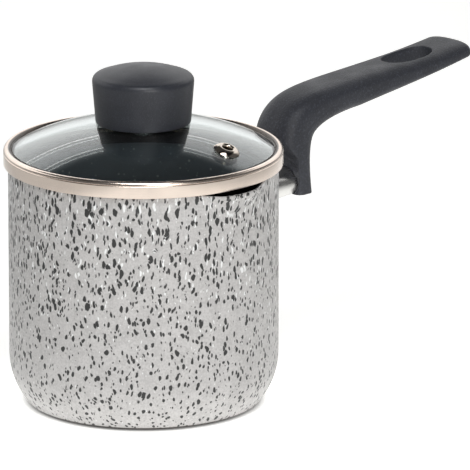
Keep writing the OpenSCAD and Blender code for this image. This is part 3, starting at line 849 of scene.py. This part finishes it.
def loft(name, rings, ends=True):
    """A closed skin over rings that all have the same number of points."""
    n = len(rings[0])
    verts = [p for ring in rings for p in ring]
    faces = [
        [k * n + i, k * n + (i + 1) % n, (k + 1) * n + (i + 1) % n, (k + 1) * n + i]
        for k in range(len(rings) - 1) for i in range(n)
    ]
    if ends:
        faces += [list(range(n))[::-1], [(len(rings) - 1) * n + i for i in range(n)]]
    return new_piece(name, verts, faces)


def guard_ring(handle, x, grow):
    """Oval section of the flame guard at x, larger all round by grow."""
    start, end = GUARD_START, GUARD_HIGH.x
    flare = handle.guard_flare * (end - x) / (end - start)
    across = oval(handle.guard_width / 2 + flare + grow, handle.guard_height / 2 + flare + grow, 2, 72)
    return [(x, y, z + SCREW_Z - handle.guard_drop) for y, z in across]


class SAUCEPAN_OT_guard(bpy.types.Operator):
    """Makes the polished flame guard between the pan and the handle"""

    bl_idname = "saucepan.guard"
    bl_label = "Flame guard"

    def execute(self, context):
        handle = settings().handle
        wall = PAN_HIGH.x + 0.1 * MM
        far = GUARD_HIGH.x
        edge = handle.guard_sheet / 2
        rings = []
        # the section runs along the outside to the handle, round the rolled edge and back inside
        section = [(share, 0.0) for share in (0.0, 0.25, 0.5, 0.75, 0.97)]
        section += [(1.0, edge * 0.6), (1.0, edge * 1.4)]
        section += [(share, 2 * edge) for share in (0.97, 0.5, 0.0)] + [(0.0, edge)]
        for share, inset in section:
            ring = []
            outer = guard_ring(handle, far, -inset)
            root = guard_ring(handle, GUARD_START, -inset)
            for (x1, y1, z1), (x0, y0, z0) in zip(outer, root):
                # the edge at the pan follows the round wall
                t = 0.5
                for _ in range(20):
                    y = y0 + (y1 - y0) * t
                    t = (math.sqrt(wall**2 - y**2) - x0) / (x1 - x0)
                t += (1 - t) * share
                ring.append((x0 + (x1 - x0) * t, y0 + (y1 - y0) * t, z0 + (z1 - z0) * t))
            rings.append(ring)
        obj = loft("flame_guard_ferrule", rings + rings[:1], ends=False)
        attach(paint(obj, material("ferrule")), "pan", "polished_steel", "flame_guard")
        return {"FINISHED"}


def bezier(points, t):
    """The point at t, from 0 to 1, on the cubic curve with these four control points."""
    p = np.array(points)
    return (1 - t) ** 3 * p[0] + 3 * (1 - t) ** 2 * t * p[1] + 3 * (1 - t) * t**2 * p[2] + t**3 * p[3]


def ease(t):
    """From 0 to 1 with a soft start and end."""
    return t * t * (3 - 2 * t)


def mix(a, b, t):
    """From a to b as t goes from 0 to 1."""
    return a + (b - a) * t


class HandleLine:
    """The handle's middle line in the XZ plane, and its section along it."""

    def __init__(self, handle):
        self.h = handle
        bottom = GRIP_LOW.z
        # the guard stands in a seat in the root's front
        seat = 1.6 * MM
        self.front = GUARD_HIGH.x - 1.2 * MM
        self.landing_top = SCREW_Z - handle.guard_drop + handle.guard_height / 2 + handle.landing + 1 * MM
        root_x = GUARD_HIGH.x - seat + handle.root / 2
        self.tip = np.array([PAN_HIGH.x + handle.reach, SCREW_Z + handle.rise])
        # the root rises nearly upright and bends over at this height, and the grip rises on to the tip
        bend_z = self.tip[1] - 11.3 * MM
        shoulder = np.array([root_x + (self.tip[0] - root_x) / 3, bend_z + 2.8 * MM])
        pull = (self.tip[0] - shoulder[0]) * 0.366
        self.root_line = [
            (root_x + 0.9 * MM, bottom - 3 * MM), (root_x - 6.5 * MM, bottom + 28 * MM),
            (root_x - 8 * MM, bend_z), shoulder,
        ]
        self.grip_line = [
            shoulder, shoulder + pull * np.array([1, 0.1]), self.tip - pull * np.array([1, 0.17]), self.tip
        ]

    def at(self, u):
        """Point of the line: u from 0 to 1 is the root and from 1 to 2 the grip."""
        return bezier(self.root_line, u) if u < 1 else bezier(self.grip_line, u - 1)

    def slope(self, u):
        """Direction of the line, of length 1."""
        d = self.at(min(u + 0.002, 2)) - self.at(max(u - 0.002, 0))
        return d / np.linalg.norm(d)

    def ring(self, u, steps=64):
        """The section at u, square to the line."""
        h, middle_u = self.h, 0.42
        wide = mix(h.root_width, h.tip_width, ease(max(u - 1, 0))) / 2
        if u < middle_u:
            thick = mix(h.root, h.shoulder, ease((u / middle_u) ** 0.7)) / 2
        elif u < 1:
            thick = mix(h.shoulder, h.grip, ease((u - middle_u) / (1 - middle_u))) / 2
        else:
            thick = mix(h.grip, h.tip, u - 1) / 2
        left = np.linalg.norm(self.tip - self.at(u))
        # the tip is rounded off over its last stretch, by its full width and half its thickness
        tip_round, power = 4.5 * MM, 2.3
        f = 1 if left > tip_round else (1 - (1 - left / tip_round) ** power * 0.97) ** (1 / power)
        c, d = self.at(u), self.slope(u)
        ring = []
        for y, v in oval(wide * f, thick * mix(1, f, 0.5), 3.2, steps):
            x, z = c[0] - d[1] * v, c[1] + d[0] * v
            # the root's front is upright, and above the guard it leans over the pan
            ring.append((max(x, self.front - 0.9 * max(0, z - self.landing_top)), y, z))
        return ring


def rod(name, x0, x1, radius, y=0.0, z=None):
    """Round cutter along X."""
    z = SCREW_Z if z is None else z
    return loft(name, [[(x, y + a, z + b) for a, b in oval(radius, radius, 2, 48)] for x in (x0, x1)])


class SAUCEPAN_OT_handle(bpy.types.Operator):
    """Makes the moulded handle with its hanging slot"""

    bl_idname = "saucepan.handle"
    bl_label = "Handle"

    def execute(self, context):
        handle = settings().handle
        line = HandleLine(handle)
        # 0 to 1 is the root and 1 to 2 the grip, with more sections where the tip is rounded
        stations = [
            *np.linspace(0, 1, 56, endpoint=False), *(1 + 0.9 * np.linspace(0, 1, 48, endpoint=False)),
            *(2 - 0.1 * (1 - np.linspace(0, 1, 24)) ** 2),
        ]
        obj = loft("handle_moulding", [line.ring(u) for u in stations])
        gap = 0.12 * MM
        # everything below the root's toe is taken off level
        corners = ((0.05, -0.03), (0.13, -0.03), (0.13, 0.03), (0.05, 0.03))
        levels = (GRIP_LOW.z - 0.02, GRIP_LOW.z - 0.8 * MM)
        under = loft("under", [[(x, y, z) for x, y in corners] for z in levels])
        seat = loft("seat", [guard_ring(handle, x, gap) for x in (GUARD_START, GUARD_HIGH.x)])
        face = guard_ring(handle, line.front + 0.6 * MM, handle.landing)
        landing = loft("landing", [[(x, y, z) for _, y, z in face] for x in (PAN_HIGH.x, face[0][0])])
        bore = rod("bore", GUARD_HIGH.x - 1 * MM, WASHER_LOW.x + 1 * MM, 2.2 * MM)
        sink = rod("sink", WASHER_LOW.x, WASHER_LOW.x + 2 * handle.root, WASHER_HIGH.y + gap)
        tilt = line.slope(1.7)
        middle = line.tip - handle.slot_inset * tilt
        normal = np.array([-tilt[1], tilt[0]])
        slot = loft("slot", [
            [(middle[0] + tilt[0] * a + normal[0] * s, b, middle[1] + tilt[1] * a + normal[1] * s)
             for a, b in oval(handle.slot_length / 2, handle.slot_width / 2, 2.3, 96)]
            for s in (-0.02, 0.02)
        ])
        cut(obj, under, landing, seat, bore, sink, slot)
        finished(obj, [
            ("REMESH", {"mode": "VOXEL", "voxel_size": handle.voxel, "use_smooth_shade": True}),
            ("SMOOTH", {"factor": 0.5, "iterations": 6}),
            ("DECIMATE", {"ratio": 0.6}),
        ])
        obj.data.shade_smooth()
        attach(paint(obj, material("handle")), "pan", "handle_plastic", "handle_grip")
        return {"FINISHED"}


class SAUCEPAN_OT_fixings(bpy.types.Operator):
    """Gives the bracket, studs, nut, screws, washers and gaskets their finishes"""

    bl_idname = "saucepan.fixings"
    bl_label = "Fixings"

    def execute(self, context):
        finishes = {
            "handle_bracket": "aluminium", "bracket_studs": "aluminium", "bracket_nut": "zinc",
            "handle_screw": "zinc", "handle_washer": "zinc", "knob_screw": "zinc", "knob_washer": "zinc",
            "knob_insert": "brass", "knob_gasket": "silicone", "glass_gasket": "silicone",
            "vent_ring": "polished",
        }
        for name, finish in finishes.items():
            coat_node(name, finish)
        return {"FINISHED"}


# ---- lid ----


class Dome:
    """The two faces of the glass: where they are at a distance from the middle."""

    def __init__(self, lid):
        self.edge = GLASS_HIGH.x
        self.inner = (self.edge**2 + lid.dome_rise**2) / (2 * lid.dome_rise)
        self.outer = self.inner + lid.glass
        self.middle = GLASS_HIGH.z - self.outer

    def top(self, r):
        return self.middle + math.sqrt(self.outer**2 - r**2)

    def under(self, r):
        return self.middle + math.sqrt(self.inner**2 - r**2)

    def vent_place(self, lid):
        """From the vent's own axis, with Z out of the glass, to the lid."""
        tilt = math.asin((self.edge - lid.vent_inset) / self.outer)
        return (
            Matrix.Translation((0, 0, self.middle)) @ Matrix.Rotation(lid.vent_angle - math.pi / 2, 4, "Z")
            @ Matrix.Rotation(tilt, 4, "Y") @ Matrix.Translation((0, 0, self.outer))
        )


class SAUCEPAN_OT_glass(bpy.types.Operator):
    """Makes the domed glass with its ground edge, centre hole and vent hole"""

    bl_idname = "saucepan.glass"
    bl_label = "Glass"

    def execute(self, context):
        lid = settings().lid
        dome = Dome(lid)
        # radius of the centre hole, and width of the ground edges
        hole = 4.5 * MM
        ground = 0.5 * MM
        rs = np.linspace(hole + ground, dome.edge - ground, 34)
        top = [(r, dome.top(r)) for r in rs]
        low = [(r, dome.under(r)) for r in rs[::-1]]
        side = [(dome.edge, dome.top(dome.edge) - ground), (dome.edge, dome.under(dome.edge) + ground)]
        bore = [(hole, dome.under(hole) + ground), (hole, dome.top(hole) - ground)]
        obj = turned("lid_glass_dome", top + side + low + bore, 192, sharp_degrees=22)
        reach = lid.vent_bore / 2 + 0.9 * MM
        below, above = -8 * MM, 4 * MM
        drill = turned("drill", [(0, below), (reach, below), (reach, above), (0, above)], 32, closed=False)
        cut(obj, moved(drill, dome.vent_place(lid)))
        smooth(obj, 22)
        attach(paint(obj, material("glass")), "lid", "lid_glass", "lid_glass")
        return {"FINISHED"}


def sweep_tree():
    """Sweeps a flat outline, given as a closed loop of edges, round a circle about Z."""
    tree, given = new_tree("rim_sweep", Radius="Float", Segments="Int", Material="Material")
    path = add(
        tree, "GeometryNodeCurvePrimitiveCircle",
        named={"Radius": given.outputs["Radius"], "Resolution": given.outputs["Segments"]},
    )
    outline = add(tree, "GeometryNodeMeshToCurve", given.outputs["Geometry"])
    swept = add(tree, "GeometryNodeCurveToMesh", named={"Curve": path, "Profile Curve": outline})
    return close_tree(tree, swept, given)


class SAUCEPAN_OT_rim(bpy.types.Operator):
    """Makes the steel band crimped round the glass, with its roll, hem and skirt"""

    bl_idname = "saucepan.rim"
    bl_label = "Rim band"

    def execute(self, context):
        lid = settings().lid
        dome = Dome(lid)
        t, rim_r, low, top = lid.sheet, RIM_HIGH.x, settings().pan.height, RIM_HIGH.z
        skirt = settings().pan.radius - settings().pan.wall - lid.skirt_gap
        roll_x, roll_z = rim_r - lid.roll, top - lid.roll
        hem = 2 * t
        # from the hem's outer corner up the band, over the roll on to the glass, back down and inwards
        outside = [(rim_r - 0.35 * MM, low), (rim_r - 0.1 * MM, low + 0.1 * MM), (rim_r, low + 0.35 * MM)]
        outside += [(rim_r, roll_z - 0.55 * MM), (rim_r - 0.22 * MM, roll_z - 0.3 * MM)]
        outside += arc(roll_x, roll_z, lid.roll, 0, 175, 14)
        lap = rim_r - lid.roll * 2 - 0.5 * MM
        outside += [(lap, dome.top(lap) + 0.45 * MM), (lap - 0.1 * MM, dome.top(lap) + 0.05 * MM)]
        edge_z = dome.top(dome.edge)
        inside = [(dome.edge - 0.05 * MM, edge_z + 0.05 * MM), (rim_r - t, edge_z - 0.3 * MM)]
        inside += [(rim_r - t, low + hem), (skirt, low + hem)]
        skirt_part = [(skirt - t, low + hem - 0.3 * MM), (skirt - t, RIM_LOW.z + 0.2 * MM)]
        skirt_part += [(skirt - t / 2, RIM_LOW.z), (skirt, RIM_LOW.z + 0.2 * MM), (skirt, low)]
        loop = outside + inside + skirt_part
        edges = [(i, (i + 1) % len(loop)) for i in range(len(loop))]
        # the sweep lays the outline's X outwards and its Y downwards
        obj = new_object("lid_rim_band", [(x - rim_r, -z, 0) for x, z in loop], edges, [])
        with_nodes(obj, sweep_tree(), radius=rim_r, segments=224, material=material("band"))
        outward(obj, 40)
        attach(obj, "lid", "rim_steel", "lid_rim")
        return {"FINISHED"}


class SAUCEPAN_OT_knob(bpy.types.Operator):
    """Makes the hollow moulded knob"""

    bl_idname = "saucepan.knob"
    bl_label = "Knob"

    def execute(self, context):
        lid = settings().lid
        wide, low, top = KNOB_HIGH.x, KNOB_LOW.z, KNOB_HIGH.z
        foot = wide - lid.knob_flare
        crown = (wide**2 + lid.knob_dome**2) / (2 * lid.knob_dome)
        crown_z = top - crown
        edge_x = wide - lid.knob_edge
        edge_z = crown_z + math.sqrt((crown - lid.knob_edge) ** 2 - edge_x**2)
        lean = math.degrees(math.atan2(lid.knob_flare, edge_z - low))
        meet = math.degrees(math.atan2(edge_z - crown_z, edge_x))
        wall, post, post_low = 3.2 * MM, 6.5 * MM, INSERT_LOW.z
        bore, bore_top = INSERT_HIGH.x + 0.05 * MM, INSERT_HIGH.z + 0.1 * MM
        roof = low + 15.6 * MM
        # a faint step where the mould's top plate met its side
        step_r, step = 19.4 * MM, 0.12 * MM
        outer = [(foot - 0.5 * MM, low), (foot - 0.12 * MM, low + 0.12 * MM), (foot, low + 0.5 * MM)]
        outer += refined([outer[-1], (wide - 0.06 * MM, edge_z - 1.5 * MM)], 3 * MM)[1:]
        outer += arc(edge_x, edge_z, lid.knob_edge, -lean, meet, 14)
        dome = []
        for r in np.linspace(edge_x * 0.985, 0, 22):
            z = crown_z + math.sqrt(crown**2 - r**2)
            dome.append((r, z - step if r < step_r else z))
        inner = [(0, bore_top), (bore, bore_top), (bore, post_low), (post, post_low), (post, roof - 1 * MM)]
        side = foot - wall
        inner += [(post + 1 * MM, roof), (side - 2 * MM, roof), (side - 0.4 * MM, roof - 2 * MM)]
        inner += [(side, low)]
        obj = turned("lid_knob_moulding", outer + dome + inner, 160)
        attach(paint(obj, material("knob")), "lid", "knob_plastic", "lid_knob")
        return {"FINISHED"}


class SAUCEPAN_OT_vent(bpy.types.Operator):
    """Makes the steel eyelet of the steam vent"""

    bl_idname = "saucepan.vent"
    bl_label = "Steam vent"

    def execute(self, context):
        lid = settings().lid
        dome = Dome(lid)
        bore, wide, high, sheet = lid.vent_bore / 2, lid.vent_width / 2, 2.0 * MM, 0.6 * MM
        end = -lid.glass - 1.5 * MM
        funnel = 1.1 * MM
        outline = [(wide, 0.12 * MM), (wide, 0.3 * MM), (wide - 0.25 * MM, 0.55 * MM)]
        outline += [(wide - 1.1 * MM, 1.4 * MM), (wide - 2.0 * MM, high - 0.15 * MM), (bore + funnel, high)]
        outline += arc(bore + funnel, high - funnel, funnel, 90, 180, 6)[1:]
        # the clinched end under the glass, each point as its distance from the bore and from the end
        clinch = ((0, 0.5), (0.5, 0), (1.4, 0), (1.5, 0.3), (1.3, 0.5))
        outline += [(bore + out * MM, end + up * MM) for out, up in clinch]
        outline += [(bore + sheet, end + 0.6 * MM), (bore + sheet, 0.12 * MM)]
        obj = turned("vent_eyelet_flange", outline, 96)
        moved(obj, dome.vent_place(lid))
        attach(paint(obj, material("eyelet")), "lid", "polished_steel", "vent_eyelet")
        return {"FINISHED"}


# ---- stage ----


def lamp(name, place, target, width, height, power, rgb):
    """A softbox that shines from its place on the target, and isn't seen itself."""
    data = bpy.data.lights.new(name, "AREA")
    data.shape, data.size, data.size_y, data.energy, data.color = "RECTANGLE", width, height, power, rgb
    obj = bpy.data.objects.new(name, data)
    bpy.context.scene.collection.objects.link(obj)
    obj.location = place
    obj.rotation_euler = (Vector(target) - Vector(place)).to_track_quat("-Z", "Y").to_euler()
    obj.visible_camera = False
    return obj


class SAUCEPAN_OT_stage(bpy.types.Operator):
    """Makes the pale floor, the soft studio light and the camera"""

    bl_idname = "saucepan.stage"
    bl_label = "Floor, light and camera"

    def execute(self, context):
        stage, scene = settings().stage, context.scene
        half = 8.0
        corners = [(-half, -half, 0), (half, -half, 0), (half, half, 0), (-half, half, 0)]
        floor = new_piece("floor", corners, [[0, 1, 2, 3]])
        paint(floor, white_table(stage.floor, stage.azimuth))

        world = bpy.data.worlds.new("studio")
        scene.world = world
        world.use_nodes = True
        tree = world.node_tree
        tree.nodes.clear()
        place = add(tree, "ShaderNodeTexCoord")
        part = add(tree, SPLIT, place.outputs["Generated"])
        # a white wall stands behind the pan, wider and brighter above, and the rest of the room is dim
        flat = add(tree, VECTOR, place.outputs["Generated"], (1, 1, 0), operation="MULTIPLY")
        level = add(tree, VECTOR, flat, operation="NORMALIZE")
        turn = -stage.azimuth - math.radians(14)
        away = (math.sin(turn), math.cos(turn), 0)
        facing = add(tree, VECTOR, level, away, operation="DOT_PRODUCT")
        wider = add(tree, MATH, part.outputs["Z"], 1.1, facing, operation="MULTIPLY_ADD")
        bright = add(tree, RANGE, part.outputs["Z"], 0.0, 0.35, 0.85, 1.35)
        wall = add(tree, RANGE, wider, 0.5, 0.95, 0.13, bright, **SMOOTH)
        # it ends at a dark ceiling, where two narrow strip lights show
        ceiling = add(tree, RANGE, part.outputs["Z"], 0.6, 0.71, 1.0, 0.05, **SMOOTH)
        glow = add(tree, MATH, wall, ceiling, operation="MULTIPLY")
        ahead = add(tree, RANGE, facing, 0.8, 0.95, 0.0, 2.4, **SMOOTH)
        for height in (0.49, 0.65):
            off = add(tree, MATH, part.outputs["Z"], height, 0.005, operation="COMPARE")
            strip = add(tree, MATH, off, ahead, operation="MULTIPLY")
            glow = add(tree, MATH, glow, strip, operation="ADD")
        shine = add(tree, "ShaderNodeBackground", (1, 1, 1, 1), glow)
        add(tree, "ShaderNodeOutputWorld", shine)

        pan = (0, 0, 0.05)
        lamp("overhead_softbox", (-1.0, -1.1, 2.3), pan, 1.4, 1.0, 31, (0.97, 0.985, 1.0))
        lamp("key_softbox", (-1.15, -2.35, 0.75), pan, 1.1, 0.9, 20, (1.0, 0.975, 0.95))

        data = bpy.data.cameras.new("camera")
        camera = bpy.data.objects.new("camera", data)
        scene.collection.objects.link(camera)
        a, e = stage.azimuth, stage.elevation
        back = Vector((math.sin(a) * math.cos(e), -math.cos(a) * math.cos(e), math.sin(e)))
        camera.location = Vector(stage.target) + back * stage.distance
        camera.rotation_euler = (-back).to_track_quat("-Z", "Y").to_euler()
        data.lens, data.sensor_width = stage.lens, 36.0
        data.clip_start, data.clip_end = 0.05, 60.0
        scene.camera = camera
        scene.view_settings.view_transform = "Standard"
        return {"FINISHED"}


class SAUCEPAN_PT_sidebar(bpy.types.Panel):
    """Sizes, colours and the steps that make the saucepan"""

    bl_label = "Saucepan"
    bl_idname = "SAUCEPAN_PT_sidebar"
    bl_space_type = "VIEW_3D"
    bl_region_type = "UI"
    bl_category = "Saucepan"

    def draw(self, context):
        for name in ("pan", "handle", "lid", "finish", "stage"):
            group = getattr(context.scene.saucepan, name)
            box = self.layout.box()
            box.label(text=name.capitalize())
            for prop in group.bl_rna.properties:
                if prop.identifier not in ("rna_type", "name"):
                    box.prop(group, prop.identifier)
        for step in STEPS:
            self.layout.operator(step.bl_idname)


STEPS = (
    SAUCEPAN_OT_pan,
    SAUCEPAN_OT_base,
    SAUCEPAN_OT_guard,
    SAUCEPAN_OT_handle,
    SAUCEPAN_OT_fixings,
    SAUCEPAN_OT_glass,
    SAUCEPAN_OT_rim,
    SAUCEPAN_OT_knob,
    SAUCEPAN_OT_vent,
    SAUCEPAN_OT_stage,
)
GROUPS = (PanSizes, HandleSizes, LidSizes, Finishes, StageSettings, SaucepanSettings)


def register():
    for cls in (*GROUPS, *STEPS, SAUCEPAN_PT_sidebar):
        bpy.utils.register_class(cls)
    bpy.types.Scene.saucepan = PointerProperty(type=SaucepanSettings)


def unregister():
    del bpy.types.Scene.saucepan
    for cls in reversed((*GROUPS, *STEPS, SAUCEPAN_PT_sidebar)):
        bpy.utils.unregister_class(cls)


def main():
    """Makes every piece in order."""
    register()
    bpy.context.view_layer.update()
    for step in STEPS:
        group, name = step.bl_idname.split(".")
        getattr(getattr(bpy.ops, group), name)()


if __name__ == "__main__":
    main()
